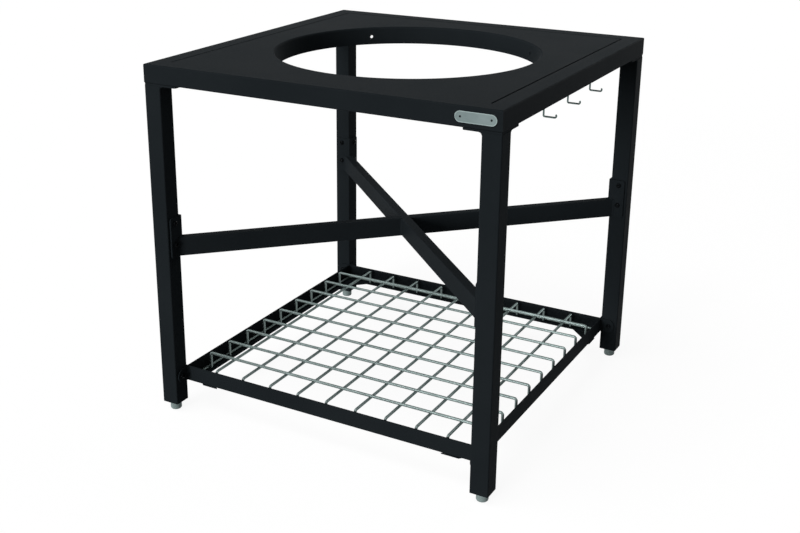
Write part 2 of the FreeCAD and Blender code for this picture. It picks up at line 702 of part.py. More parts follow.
def make_badge():
    """The bare badge plate with its raised border, and the two rivets that hold it."""
    plate = stadium(BADGE_LENGTH, BADGE_HEIGHT, BADGE_THICKNESS, BADGE_THICKNESS)
    field = stadium(BADGE_LENGTH - 2 * BADGE_BORDER, BADGE_HEIGHT - 2 * BADGE_BORDER,
                    BADGE_RECESS, BADGE_THICKNESS)
    plate = plate.cut(field)
    centre = Vector(HALF_W - BADGE_INSET, -HALF_D, TABLE_HEIGHT - TUBE_SIZE / 2)
    rivets = []
    for side in (-1, 1):
        place = Vector(side * BADGE_RIVET_SPACING / 2, 0, 0)
        plate = plate.cut(rod(place - Y_AXIS * BADGE_THICKNESS, Y_AXIS, BADGE_RIVET_RADIUS, BADGE_THICKNESS))
        front = BADGE_THICKNESS - BADGE_RECESS + BADGE_RIVET_HEAD
        rivet = rod(place - Y_AXIS * front, Y_AXIS, BADGE_RIVET_RADIUS, front)
        rivet.translate(centre)
        rivets.append(rivet)
    plate.translate(centre)
    return plate, rivets


def make_leg_screws(kind, cover):
    """The screws of one kind on all legs. The cover is the thickness that they clamp."""
    screws = [turned_to(button_screw(SCREW_LENGTH), outward, mouth + outward * cover)
              for place_kind, mouth, outward in leg_screw_places() if place_kind == kind]
    return in_all_corners(screws)


def make_leg_nuts():
    """The rivet nuts in the walls of all legs."""
    return in_all_corners([turned_to(rivet_nut(), outward, mouth)
                           for _, mouth, outward in leg_screw_places()])


def make_flange_fasteners():
    """The screws that hold the flange plates up to the rails, and their rivet nuts."""
    down = Vector(0, 0, -1)
    screws = []
    nuts = []
    for place in flange_screw_places():
        seat = Vector(place.x, place.y, LEG_TOP)
        screws.append(turned_to(button_screw(FLANGE_SCREW_LENGTH), down, seat))
        nuts.append(turned_to(rivet_nut(), down, place))
    return in_all_corners(screws), in_all_corners(nuts)


def main():
    os.makedirs("parts", exist_ok=True)

    rails = drill_rails({side: make_rail(side) for side in ("front", "back", "left", "right")})
    for side, rail in rails.items():
        export("rail_" + side, [rail])
    export("top_panel", [make_panel()])
    export("panel_ledges", make_ledges())
    export("well_collar", [make_collar()])

    leg = make_leg()
    flange_plate = make_flange_plate()
    bracket = make_bracket()
    pad = make_foot_pad()
    stud = make_foot_stud()
    for corner in CORNERS:
        export("leg_" + corner, [in_corner(leg, corner)])
        export("leg_flange_" + corner, [in_corner(flange_plate, corner)])
        export("brace_bracket_" + corner, [in_corner(bracket, corner)])
        export("foot_pad_" + corner, [in_corner(pad, corner)])
        export("foot_stud_" + corner, [in_corner(stud, corner)])
    export("leg_foot_inserts", in_all_corners([make_foot_insert()]))
    export("leg_rivet_nuts", make_leg_nuts())
    flange_screws, rail_nuts = make_flange_fasteners()
    export("flange_screws", flange_screws)
    export("rail_rivet_nuts", rail_nuts)

    through, front_half, back_half = make_brace()
    export("brace_bar_through", [through])
    export("brace_bar_front_left", [front_half])
    export("brace_bar_back_right", [back_half])
    export("brace_screws", make_leg_screws("bracket", BRACKET_THICKNESS))

    for side in ("front", "back", "left", "right"):
        export("shelf_bar_" + side, [make_shelf_bar(side)])
    export("shelf_lugs", in_all_corners(make_lugs()))
    export("shelf_lug_screws", make_leg_screws("lug", LUG_THICKNESS))
    export("shelf_corner_plates", in_all_corners([make_corner_plate()]))

    upper, lower, rim = make_grid()
    export("grid_upper_wires", upper)
    export("grid_lower_wires", lower)
    export("grid_rim_wire", [rim])

    export("utensil_hooks", make_hooks())
    badge, rivets = make_badge()
    export("badge_plate", [badge])
    export("badge_rivets", rivets)


main()
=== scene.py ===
"""Dressed model of the kamado grill table: finishes, welds, screws, threads, floor, light and camera."""

import bmesh
import bpy
import json
import math
import random

from mathutils import Matrix, Vector


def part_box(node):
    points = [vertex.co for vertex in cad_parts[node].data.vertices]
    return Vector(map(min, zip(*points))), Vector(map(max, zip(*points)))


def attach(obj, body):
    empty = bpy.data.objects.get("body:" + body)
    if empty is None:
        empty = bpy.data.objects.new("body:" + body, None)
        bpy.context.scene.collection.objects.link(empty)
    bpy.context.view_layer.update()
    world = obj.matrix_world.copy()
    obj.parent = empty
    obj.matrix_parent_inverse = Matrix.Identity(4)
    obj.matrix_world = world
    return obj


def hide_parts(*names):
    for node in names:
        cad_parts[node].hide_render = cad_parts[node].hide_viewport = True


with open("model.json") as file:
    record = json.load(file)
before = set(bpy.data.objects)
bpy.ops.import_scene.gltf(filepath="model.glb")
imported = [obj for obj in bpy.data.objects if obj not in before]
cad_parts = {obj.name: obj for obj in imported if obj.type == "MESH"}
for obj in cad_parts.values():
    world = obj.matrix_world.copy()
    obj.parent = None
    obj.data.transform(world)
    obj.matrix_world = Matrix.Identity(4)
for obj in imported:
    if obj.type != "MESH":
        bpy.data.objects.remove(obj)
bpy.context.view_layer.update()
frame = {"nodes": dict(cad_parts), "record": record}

MM = 0.001
CORNERS = {"front_left": (-1, -1), "front_right": (1, -1), "back_left": (-1, 1), "back_right": (1, 1)}

# Camera, fitted to the photograph: its place in metres, its angles in degrees and its lens in millimetres
CAMERA_PLACE = (1.1209, -2.1288, 1.2191)
CAMERA_AZIMUTH = 30.08
CAMERA_DOWN = 19.114
CAMERA_LENS = 53.04
CAMERA_SHIFT = (0.05, -0.06)

# Sizes of the table's pieces that their boxes in the frame don't show, in millimetres
COLLAR_LIP = 3.0
BRACE_HALF_WIDTH = 10.0
BRACKET_SCREW_HEIGHTS = (28.0, 74.0)
SHELF_SHEET = 2.0
LUG_THICKNESS = 3.0
LUG_HALF_WIDTH = 16.0
CORNER_PLATE_NEAR = 41.0
CORNER_PLATE_FAR = 78.0
WIRE_RADIUS = 3.0
WIRE_PITCH = 68.0
HOOK_WIRE_RADIUS = 1.75
BADGE_FIELD = 0.9
BADGE_FRONT = 1.2
BADGE_RIVET_OFFSET = 29.0

LOW, HIGH = 0, 1
X, Y, Z = 0, 1, 2
FOUR_WAYS = ((1, 0), (0, 1), (-1, 0), (0, -1))


def edge(node, end, axis):
    """Where a CAD node ends along an axis, in millimetres."""
    return round(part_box(node)[end][axis] / MM, 2)


# Places on the table in millimetres, from the boxes of its nodes
INNER = edge("leg_back_right", LOW, X)
HALF_SIDE = edge("leg_back_right", HIGH, X)
LEG_AXIS = (INNER + HALF_SIDE) / 2
LEG_BOTTOM = edge("leg_back_right", LOW, Z)
LEG_TOP = edge("leg_back_right", HIGH, Z)
RAIL_BOTTOM = edge("rail_back", LOW, Z)
PANEL_BOTTOM = edge("top_panel", LOW, Z)
LEDGE_BOTTOM = edge("panel_ledges", LOW, Z)
COLLAR_OUTSIDE = edge("well_collar", HIGH, X) - COLLAR_LIP
FLANGE_EDGE = edge("leg_flange_back_right", LOW, X)
BRACE_BOTTOM = edge("brace_bar_through", LOW, Z)
BRACE_TOP = edge("brace_bar_through", HIGH, Z)
BRACKET_FACE = edge("brace_bracket_back_right", LOW, X)
SHELF_BOTTOM = edge("shelf_bar_back", LOW, Z)
SHELF_TOP = edge("shelf_bar_back", HIGH, Z)
SHELF_FLOOR = SHELF_BOTTOM + SHELF_SHEET
SHELF_FLANGE_EDGE = edge("shelf_bar_back", LOW, Y)
SHELF_WEB_INSIDE = edge("shelf_bar_back", HIGH, Y) - SHELF_SHEET
LUG_INSIDE = INNER - LUG_THICKNESS
LUG_LEVEL = SHELF_TOP - LUG_HALF_WIDTH
WIRE_SPAN = edge("grid_upper_wires", HIGH, X) - WIRE_RADIUS
WIRE_CONTACT = edge("grid_lower_wires", HIGH, Z)
RIM_LEVEL = edge("grid_rim_wire", HIGH, Z) - WIRE_RADIUS
HOOK_SHANK = edge("utensil_hooks", LOW, X) + HOOK_WIRE_RADIUS
HOOK_PITCH = edge("utensil_hooks", HIGH, Y) - HOOK_WIRE_RADIUS
HOOK_ROWS = (-HOOK_PITCH, 0.0, HOOK_PITCH)
BADGE_X = (edge("badge_plate", LOW, X) + edge("badge_plate", HIGH, X)) / 2
BADGE_BACK = edge("badge_plate", HIGH, Y)
BADGE_Z = (edge("badge_plate", LOW, Z) + edge("badge_plate", HIGH, Z)) / 2
FOOT_PLUG_HALF = edge("leg_foot_inserts", HIGH, X) - LEG_AXIS
STUD_BOTTOM = edge("foot_stud_back_right", LOW, Z)
STUD_TOP = edge("foot_stud_back_right", HIGH, Z)

# Meshes: the angle from which an edge is sharp, the gap under which two points are one, and points in a ring
SHARP_ANGLE = 38.0
POINT_GAP = 0.0005
RING_SEGMENTS = 48

# Weld beads: their ripples, their cross-section and how they run out, mostly as shares of their size
RIPPLE = 2.3
RIPPLE_SPREAD = (0.85, 1.2)
RIPPLE_PHASES = (0.0, 0.2, 0.45, 0.72, 0.9)
HUMP_START = 0.12
HUMP_SPAN = 0.80
HUMP_POWER = 0.7
BEAD_SHARES = (0.0, 0.12, 0.3, 0.5, 0.7, 0.88, 1.0)
BEAD_ROOT = 0.2
BEAD_SPREAD = (0.95, 1.06)
BEAD_SWELL = 0.16
BEAD_LEAD = 0.30
BEAD_END_WIDTH = 0.55
WAIST_WIDTH = 0.90
WAIST_CROWN = 0.35
ROUTE_STEP = 0.5

# Weld beads: the size of each kind, and how far a bead stays away from the ends of its corner
RAIL_CORNER_BEAD = 3.5
LEDGE_BEAD = 3.0
COLLAR_BEAD = 4.6
FLANGE_BEAD = 5.5
BRACE_CROSS_BEAD = 3.2
BRACE_SEAM_BEAD = 2.0
BRACKET_BEAD = 2.6
SHELF_CORNER_BEAD = 2.8
LUG_BEAD = 3.4
CORNER_PLATE_BEAD = 2.2
FOOT_PLUG_BEAD = 1.5
HOOK_BEAD = 2.2
FLAT_SEAM_SWELL = 0.30
PLUG_SEAM_SWELL = 0.25
NEAR_END = 1.0
OFF_END = 1.5
FAR_OFF_END = 2.0
LUG_OFF_END = 3.0
SEAM_SUNK = 0.5
SEAM_INSIDE = 0.6
LEDGE_END = 20.0
LEDGE_STITCHES = 5
LEDGE_STITCH_LENGTH = 25.0
COLLAR_STITCHES = 12
COLLAR_STITCH_SWEEP = 6.5
COLLAR_STITCH_STEPS = 8
HOOK_BEAD_SUNK = 0.1
HOOK_BEAD_SWEEP = 355.0
HOOK_BEAD_STEPS = 36

# Spot welds: half their sizes in millimetres, their blunt tips and random spread as shares, and their points
SPOT_HALF = 1.7
SPOT_THIN = 0.9
SPOT_THICK = 1.8
SPOT_TIP = 0.02
SPOT_SPREAD = (0.96, 1.05)
SPOT_STEPS = 8
SPOT_SEGMENTS = 16

# Screw threads: where their crest starts and ends, as shares of a turn, and points in a turn
THREAD_CREST_START = 0.40
THREAD_CREST_END = 0.60
THREAD_SEGMENTS = 32

# M6 screws with a domed head and a hexagon socket
SCREW_CREST = 3.0
SCREW_ROOT = 2.45
SCREW_PITCH = 1.0
SCREW_HEAD = 5.5
SCREW_HEAD_EDGE = 0.25
SCREW_HEAD_RIM = 0.8
SCREW_HEAD_HEIGHT = 3.3
SCREW_DOME_STEPS = 7
SOCKET_ACROSS = 4.0
SOCKET_CHAMFER = 0.25
SOCKET_RIM = 2.5
SOCKET_DEPTH = 2.0
SOCKET_POINT_RADIUS = 0.3
SOCKET_POINT_DEPTH = 0.7
NECK_LENGTH = 0.5
THREAD_START = 0.4
SCREW_LENGTH = 16.0
FLANGE_SCREW_LENGTH = 18.0

# M8 studs of the feet, with a round head
STUD_CREST = 4.0
STUD_ROOT = 3.3
STUD_PITCH = 1.25
STUD_NECK = 3.4
STUD_NECK_LENGTH = 0.5
STUD_THREAD_START = 0.3
STUD_THREAD_END = 0.8
STUD_TIP_LENGTH = 1.0
STUD_TIP_CHAMFER = 0.6
STUD_HEAD = 7.0
STUD_HEAD_HEIGHT = 5.0
STUD_HEAD_EDGE = 0.4
STUD_POINT = 2.8

# Rivets of the badge plate. The dimple in the middle has rings with a radius and a height.
RIVET_SHANK = 1.5
RIVET_HEAD = 2.0
RIVET_HEAD_RIM = 0.05
RIVET_HEAD_HEIGHT = 0.5
RIVET_DOME_STEPS = 5
DIMPLE_EDGE = 0.6
DIMPLE_RINGS = ((0.5, 0.42), (0.2, 0.38))

# Tint of the badge plate's raised border, lighter than its field
BADGE_BORDER_TINT = (0.24, 0.30, 0.295)

# Light: the way towards each lamp, its strength and its width in degrees, and the light of the surroundings
KEY_LAMP = ((-0.17, -0.97, 0.17), 2.1, 20.0)
TOP_LAMP = ((-0.18, -0.38, 0.91), 1.2, 40.0)
BACK_LAMP = ((0.32, 0.94, 0.06), 1.0, 30.0)
SIDE_LAMP = ((-0.98, -0.16, 0.06), 0.6, 30.0)
WORLD_AMBIENT = 0.08

# Floor: its side in metres, how far it lies under the feet in millimetres, and how bright it is
FLOOR_SIDE = 80.0
FLOOR_SINK = 0.3
FLOOR_GLOW = 0.92
FLOOR_LIT = 0.14
FLOOR_BOUNCE = 0.30


# Shader graphs

def add_node(tree, kind, **settings):
    node = tree.nodes.new(kind)
    for name, value in settings.items():
        setattr(node, name, value)
    return node


def set_inputs(node, values):
    for name, value in values.items():
        node.inputs[name].default_value = value


def feed(tree, value, socket):
    """Give a socket its value, which is another socket or a number."""
    if isinstance(value, bpy.types.NodeSocket):
        tree.links.new(value, socket)
    else:
        socket.default_value = value


def maths(tree, operation, first, second):
    node = add_node(tree, "ShaderNodeMath", operation=operation)
    feed(tree, first, node.inputs[0])
    feed(tree, second, node.inputs[1])
    return node.outputs[0]


def noise(tree, coordinates, scale, detail, roughness):
    node = add_node(tree, "ShaderNodeTexNoise")
    set_inputs(node, {"Detail": detail, "Roughness": roughness})
    feed(tree, scale, node.inputs["Scale"])
    tree.links.new(coordinates, node.inputs["Vector"])
    return node.outputs["Fac"]


def remap(tree, value, low, high, out_low, out_high):
    node = add_node(tree, "ShaderNodeMapRange", clamp=True)
    set_inputs(node, {"From Min": low, "From Max": high, "To Min": out_low, "To Max": out_high})
    tree.links.new(value, node.inputs["Value"])
    return node.outputs["Result"]


def stretched(tree, mask, low, high):
    """A mask whose values between low and high fill the whole range from 0 to 1."""
    return remap(tree, mask, low, high, 0.0, 1.0)


def blended(tree, first, second, share):
    """Two masks mixed. The share is the first one's."""
    one = maths(tree, "MULTIPLY", first, share)
    other = maths(tree, "MULTIPLY", second, 1.0 - share)
    return maths(tree, "ADD", one, other)


def tinted(tree, mask, low_colour, high_colour):
    """A colour that runs from one tint to another with a mask."""
    node = add_node(tree, "ShaderNodeMix", data_type="RGBA")
    node.inputs["A"].default_value = (*low_colour, 1.0)
    node.inputs["B"].default_value = (*high_colour, 1.0)
    tree.links.new(mask, node.inputs["Factor"])
    return node.outputs["Result"]


def bumped(tree, height, distance):
    node = add_node(tree, "ShaderNodeBump")
    set_inputs(node, {"Strength": 1.0, "Distance": distance})
    tree.links.new(height, node.inputs["Height"])
    return node.outputs["Normal"]


def new_texture_group(name, scales):
    """A shader node group that takes named scales, and the sockets inside it for what it takes and gives."""
    group = bpy.data.node_groups.new(name, "ShaderNodeTree")
    for label in scales:
        group.interface.new_socket(label, in_out="INPUT", socket_type="NodeSocketFloat")
    for label in ("Tone", "Gloss", "Height"):
        group.interface.new_socket(label, in_out="OUTPUT", socket_type="NodeSocketFloat")
    return group, group.nodes.new("NodeGroupInput").outputs, group.nodes.new("NodeGroupOutput").inputs


def use_group(tree, group, **values):
    """The outputs of a group, with its inputs set by their names."""
    node = add_node(tree, "ShaderNodeGroup", node_tree=group)
    for label, value in values.items():
        node.inputs[label.replace("_", " ")].default_value = value
    return node.outputs


def object_coordinates(tree):
    return add_node(tree, "ShaderNodeTexCoord").outputs["Object"]


def make_mottle_group():
    """Cloudy tone, patchy gloss and a fine pebbled height, as on sprayed or moulded surfaces."""
    group, given, result = new_texture_group("mottle", ("Cloud Scale", "Pebble Scale", "Speck Scale"))
    where = object_coordinates(group)
    cloud = noise(group, where, given["Cloud Scale"], detail=4.0, roughness=0.6)
    pebble = noise(group, where, given["Pebble Scale"], detail=1.5, roughness=0.5)
    speck = noise(group, where, given["Speck Scale"], detail=1.0, roughness=0.5)
    tone = blended(group, cloud, speck, share=0.75)
    gloss = blended(group, cloud, pebble, share=0.6)
    group.links.new(stretched(group, tone, low=0.3, high=0.7), result["Tone"])
    group.links.new(stretched(group, gloss, low=0.3, high=0.7), result["Gloss"])
    group.links.new(pebble, result["Height"])
    return group


def make_drawn_group():
    """Fine lines along one direction, as drawing and brushing leave on metal, with a cloudy tone."""
    group, given, result = new_texture_group(
        "drawn_lines", ("Across X", "Across Y", "Across Z", "Cloud Scale"))
    where = object_coordinates(group)
    stretch = add_node(group, "ShaderNodeCombineXYZ")
    for axis in "XYZ":
        group.links.new(given["Across " + axis], stretch.inputs[axis])
    scaled = add_node(group, "ShaderNodeVectorMath", operation="MULTIPLY")
    group.links.new(where, scaled.inputs[0])
    group.links.new(stretch.outputs[0], scaled.inputs[1])
    lines = noise(group, scaled.outputs[0], 1.0, detail=3.0, roughness=0.6)
    cloud = noise(group, where, given["Cloud Scale"], detail=3.0, roughness=0.55)
    tone = blended(group, lines, cloud, share=0.5)
    group.links.new(stretched(group, tone, low=0.32, high=0.68), result["Tone"])
    group.links.new(stretched(group, lines, low=0.3, high=0.7), result["Gloss"])
    group.links.new(lines, result["Height"])
    return group


MOTTLE = make_mottle_group()
DRAWN = make_drawn_group()


def new_material(name, shader_values):
    material = bpy.data.materials.new(name)
    material.use_nodes = True
    tree = material.node_tree
    tree.nodes.clear()
    shader = add_node(tree, "ShaderNodeBsdfPrincipled")
    set_inputs(shader, shader_values)
    output = add_node(tree, "ShaderNodeOutputMaterial")
    tree.links.new(shader.outputs[0], output.inputs["Surface"])
    return material, tree, shader


def finish_material(tree, shader, texture, colours, roughness, relief):
    """Colour, roughness and bump of a shader from the outputs of a texture group."""
    tree.links.new(tinted(tree, texture["Tone"], *colours), shader.inputs["Base Color"])
    tree.links.new(remap(tree, texture["Gloss"], 0.0, 1.0, *roughness), shader.inputs["Roughness"])
    tree.links.new(bumped(tree, texture["Height"], relief), shader.inputs["Normal"])


def make_powder_coat():
    """Satin near-black coat, faintly pebbled, with cloudy tone and gloss."""
    material, tree, shader = new_material("powder_coat", {"Specular IOR Level": 0.005})
    texture = use_group(tree, MOTTLE, Cloud_Scale=5.0, Pebble_Scale=520.0, Speck_Scale=1600.0)
    finish_material(tree, shader, texture, colours=((0.0112, 0.0143, 0.0165), (0.0150, 0.0187, 0.0212)),
                    roughness=(0.48, 0.60), relief=0.00012)
    return material


def make_black_oxide():
    """Screws: nearly black with a fine, even grain."""
    material, tree, shader = new_material(
        "black_oxide", {"Specular IOR Level": 0.03, "Specular Tint": (0.8, 0.9, 1.0, 1.0)})
    texture = use_group(tree, MOTTLE, Cloud_Scale=160.0, Pebble_Scale=2500.0, Speck_Scale=5000.0)
    finish_material(tree, shader, texture, colours=((0.002, 0.0025, 0.003), (0.004, 0.005, 0.0055)),
                    roughness=(0.14, 0.22), relief=0.00001)
    return material


def make_zinc_plate():
    """Bright zinc on studs, plugs and rivet nuts."""
    material, tree, shader = new_material("zinc_plate", {"Metallic": 1.0})
    texture = use_group(tree, MOTTLE, Cloud_Scale=120.0, Pebble_Scale=2200.0, Speck_Scale=4000.0)
    finish_material(tree, shader, texture, colours=((0.42, 0.44, 0.45), (0.60, 0.62, 0.62)),
                    roughness=(0.26, 0.42), relief=0.00002)
    return material


def make_wire(name, across):
    """Plain drawn steel wire, with fine lines along it where its two scales across are the larger ones."""
    material, tree, shader = new_material(
        name, {"Metallic": 0.6, "Specular IOR Level": 0.06, "Specular Tint": (0.45, 0.50, 0.50, 1.0)})
    texture = use_group(tree, DRAWN, Across_X=across[0], Across_Y=across[1], Across_Z=across[2],
                        Cloud_Scale=55.0)
    finish_material(tree, shader, texture, colours=((0.155, 0.196, 0.190), (0.225, 0.276, 0.268)),
                    roughness=(0.24, 0.34), relief=0.00003)
    return material


def make_hook_wire():
    """Dull grey metal with fine lines down the hooks' shanks."""
    material, tree, shader = new_material("hook_wire", {"Metallic": 0.4, "Specular IOR Level": 0.3})
    texture = use_group(tree, DRAWN, Across_X=900.0, Across_Y=900.0, Across_Z=60.0, Cloud_Scale=90.0)
    finish_material(tree, shader, texture, colours=((0.115, 0.180, 0.168), (0.190, 0.262, 0.248)),
                    roughness=(0.24, 0.38), relief=0.00003)
    return material


def make_foot_plastic():
    """Moulded grey plastic, slightly green."""
    material, tree, shader = new_material("foot_plastic", {"Specular IOR Level": 0.30})
    texture = use_group(tree, MOTTLE, Cloud_Scale=60.0, Pebble_Scale=1800.0, Speck_Scale=3500.0)
    finish_material(tree, shader, texture, colours=((0.185, 0.245, 0.240), (0.265, 0.330, 0.323)),
                    roughness=(0.45, 0.60), relief=0.00005)
    return material


def make_badge_metal():
    """A brushed plate whose raised border is coloured lighter than the field inside it."""
    material, tree, shader = new_material("badge_metal", {"Metallic": 0.6, "Specular IOR Level": 0.3})
    texture = use_group(tree, DRAWN, Across_X=60.0, Across_Y=900.0, Across_Z=2600.0, Cloud_Scale=30.0)
    finish_material(tree, shader, texture, colours=((0.120, 0.158, 0.158), (0.168, 0.212, 0.212)),
                    roughness=(0.34, 0.48), relief=0.00002)
    split = add_node(tree, "ShaderNodeSeparateXYZ")
    tree.links.new(object_coordinates(tree), split.inputs[0])
    field = (BADGE_BACK - BADGE_FIELD) * MM
    border = (BADGE_BACK - BADGE_FRONT) * MM
    # The raised border is given a lighter colour than the field, by how far forward each point stands along
    # Y.
    lighter_border = add_node(tree, "ShaderNodeMix", data_type="RGBA")
    tree.links.new(stretched(tree, split.outputs["Y"], field, border), lighter_border.inputs["Factor"])
    tree.links.new(shader.inputs["Base Color"].links[0].from_socket, lighter_border.inputs["A"])
    lighter_border.inputs["B"].default_value = (*BADGE_BORDER_TINT, 1.0)
    tree.links.new(lighter_border.outputs["Result"], shader.inputs["Base Color"])
    return material


def make_dark_rivet():
    """Black heads of the badge plate's rivets."""
    material, tree, shader = new_material("dark_rivet", {"Specular IOR Level": 0.05})
    texture = use_group(tree, MOTTLE, Cloud_Scale=300.0, Pebble_Scale=3000.0, Speck_Scale=6000.0)
    finish_material(tree, shader, texture, colours=((0.004, 0.005, 0.006), (0.010, 0.012, 0.013)),
                    roughness=(0.45, 0.60), relief=0.00002)
    return material


FINISHES = {
    "powder_coat_black": make_powder_coat(),
    "black_screws": make_black_oxide(),
    "zinc_plated_steel": make_zinc_plate(),
    "hook_wire_black": make_hook_wire(),
    "foot_grey_plastic": make_foot_plastic(),
    "badge_metal": make_badge_metal(),
    "badge_rivet_dark": make_dark_rivet(),
    "grid_wire_steel": make_wire("rim_wire", (700.0, 700.0, 900.0)),
}
WIRE_FINISHES = {
    "grid_upper_wires": make_wire("wire_along_x", (35.0, 900.0, 900.0)),
    "grid_lower_wires": make_wire("wire_along_y", (900.0, 35.0, 900.0)),
}


def finish_nodes():
    """Give every CAD node the finish of its slot in the record. The straight wires have their own."""
    slots = {part["node"]: part["material_slot"] for part in frame["record"]["subparts"]}
    for name, thing in frame["nodes"].items():
        if not thing.material_slots:
            thing.data.materials.append(None)
        for slot in thing.material_slots:
            slot.material = WIRE_FINISHES.get(name) or FINISHES[slots[name]]


finish_nodes()


# Forms in mesh code. A form is a list of points in millimetres and a list of faces.

def joined(forms):
    """Several forms as one."""
    points = []
    faces = []
    for form_points, form_faces in forms:
        start = len(points)
        points += form_points
        faces += [[start + corner for corner in face] for face in form_faces]
    return points, faces


def moved(form, matrix):
    points, faces = form
    return [matrix @ point for point in points], faces


def skin(rings):
    """A closed form through rings of points. Each end closes towards its middle."""
    count = len(rings[0])
    points = [point for level in rings for point in level]
    faces = []
    for start in range(0, len(points) - count, count):
        for i in range(count):
            after = (i + 1) % count
            faces.append([start + i, start + after, start + count + after, start + count + i])
    for start in (0, len(points) - count):
        middle = len(points)
        faces += [[start + i, start + (i + 1) % count, middle] for i in range(count)]
        points.append(sum(points[start:start + count], Vector()) / count)
    return points, faces


def ring(radius, height, segments=RING_SEGMENTS):
    """A level circle of points round the Z axis."""
    angles = [2 * math.pi / segments * i for i in range(segments)]
    return [Vector((radius * math.cos(angle), radius * math.sin(angle), height)) for angle in angles]


def hexagon(across_flats, height):
    """A level hexagon round the Z axis, with as many points as a ring."""
    points = ring(1.0, height)
    for i, point in enumerate(points):
        off_flat = (2 * math.pi * i / len(points)) % (math.pi / 3) - math.pi / 6
        reach = across_flats / 2 / math.cos(off_flat)
        point.x *= reach
        point.y *= reach
    return points


def thread(crest, root, pitch, low, high):
    """A right-hand screw thread along Z that runs out flat at both ends."""
    segments = THREAD_SEGMENTS
    profile = ((0.0, root), (THREAD_CREST_START, crest), (THREAD_CREST_END, crest))
    lifts = len(profile)
    rows = lifts * (math.ceil((high - low) / pitch) + 2)
    points = []
    for row in range(rows):
        share, radius = profile[row % lifts]
        for i in range(segments):
            angle = 2 * math.pi * i / segments
            height = low + pitch * (row // lifts - 1 + share + i / segments)
            reach = radius if low < height < high else root
            height = min(max(height, low), high)
            points.append(Vector((reach * math.cos(angle), reach * math.sin(angle), height)))
    faces = []
    for i in range(segments):
        after = (i + 1) % segments
        step = lifts if after == 0 else 0
        for row in range(rows - 1 - step):
            faces.append([row * segments + i, (row + step) * segments + after,
                          (row + step + 1) * segments + after, (row + 1) * segments + i])
    return points, faces


def clean_mesh(name, form):
    """A mesh in metres from a form, with doubled points merged and its faces turned outwards."""
    points, faces = form
    mesh = bpy.data.meshes.new(name)
    mesh.from_pydata([point * MM for point in points], [], faces)
    work = bmesh.new()
    work.from_mesh(mesh)
    bmesh.ops.remove_doubles(work, verts=work.verts, dist=POINT_GAP * MM)
    bmesh.ops.dissolve_degenerate(work, edges=work.edges, dist=POINT_GAP * MM)
    holes = [side for side in work.edges if side.is_boundary]
    bmesh.ops.holes_fill(work, edges=holes, sides=0)
    bmesh.ops.recalc_face_normals(work, faces=work.faces)
    work.to_mesh(mesh)
    work.free()
    return mesh


def add_piece(name, form, slot, body="table"):
    """A smooth closed piece that rides on a body and takes its finish from one of the record's slots."""
    mesh = clean_mesh(name, form)
    mesh.polygons.foreach_set("use_smooth", [True] * len(mesh.polygons))
    mesh.set_sharp_from_angle(angle=math.radians(SHARP_ANGLE))
    mesh.materials.append(FINISHES[slot])
    piece = bpy.data.objects.new(name, mesh)
    bpy.context.scene.collection.objects.link(piece)
    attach(piece, body)
    return piece


# Weld beads. A route is a list of stops. Each is a point in a corner, the two ways along its faces and the
# way out.

DOWN = (0, 0, -1)
UP = (0, 0, 1)
TO_LEFT = (-1, 0, 0)
TO_RIGHT = (1, 0, 0)
TO_FRONT = (0, -1, 0)
TO_BACK = (0, 1, 0)
INWARD = (-1, -1, 0)


def stop(point, along_one, along_other, outward=None):
    """One stop of a route. Its way out lies between its two faces, unless it is given."""
    first = Vector(along_one)
    second = Vector(along_other)
    out = Vector(outward) if outward else (first + second).normalized()
    return Vector(point), first, second, out


def straight(start, end, along_one, along_other, outward=None):
    return [stop(start, along_one, along_other, outward), stop(end, along_one, along_other, outward)]


def mirrored(route, corner):
    """A route made for the back right corner, mirrored into another corner."""
    side_x, side_y = CORNERS[corner]
    return [tuple(Vector((side_x * part.x, side_y * part.y, part.z)) for part in parts) for parts in route]


def in_all_corners(routes):
    return [mirrored(route, corner) for corner in CORNERS for route in routes]


def stop_at(route, distance):
    """The stop at a distance along a route, blended between its two neighbours."""
    for before, after in zip(route, route[1:]):
        span = (after[0] - before[0]).length
        if distance <= span or after is route[-1]:
            share = min(distance / span, 1.0)
            return tuple(one.lerp(other, share) for one, other in zip(before, after))
        distance -= span


def bead_section(parts, ahead, size, swell, lead):
    """Points across a bead: from one toe over its crown to the other toe, and back through the root."""
    root, first, second, out = parts
    section = []
    for share in BEAD_SHARES:
        crown = 4 * share * (1 - share)
        section.append(root + first * (size * (1 - share)) + second * (size * share)
                       + out * (swell * crown) + ahead * (lead * crown))
    section.append(root - out * BEAD_ROOT)
    return section


def bead(route, size, draw, swell=BEAD_SWELL):
    """A weld bead of overlapping ripples along a route."""
    length = sum((after[0] - before[0]).length for before, after in zip(route, route[1:]))
    sections = []
    start = 0.0
    while start < length:
        pitch = RIPPLE * draw.uniform(*RIPPLE_SPREAD)
        scale = draw.uniform(*BEAD_SPREAD)
        for phase in RIPPLE_PHASES:
            distance = start + phase * pitch
            if distance >= length:
                break
            from_end = min(distance, length - distance) / size
            run_out = min(1.0, BEAD_END_WIDTH + (1 - BEAD_END_WIDTH) * from_end)
            hump = math.sin(math.pi * (HUMP_START + HUMP_SPAN * phase)) ** HUMP_POWER
            here = stop_at(route, distance)
            ahead = (stop_at(route, min(distance + ROUTE_STEP, length))[0]
                     - stop_at(route, max(distance - ROUTE_STEP, 0.0))[0]).normalized()
            width = size * scale * run_out * (WAIST_WIDTH + (1 - WAIST_WIDTH) * hump)
            crown = size * swell * run_out * (WAIST_CROWN + (1 - WAIST_CROWN) * hump)
            sections.append(bead_section(here, ahead, width, crown, size * BEAD_LEAD))
        start += pitch
    return skin(sections)


def add_welds(name, routes, size, swell=BEAD_SWELL):
    """All beads of one kind as a piece. The draws are seeded with its name, so every run gives the same."""
    draw = random.Random(name)
    add_piece(name, joined([bead(route, size, draw, swell) for route in routes]), "powder_coat_black")


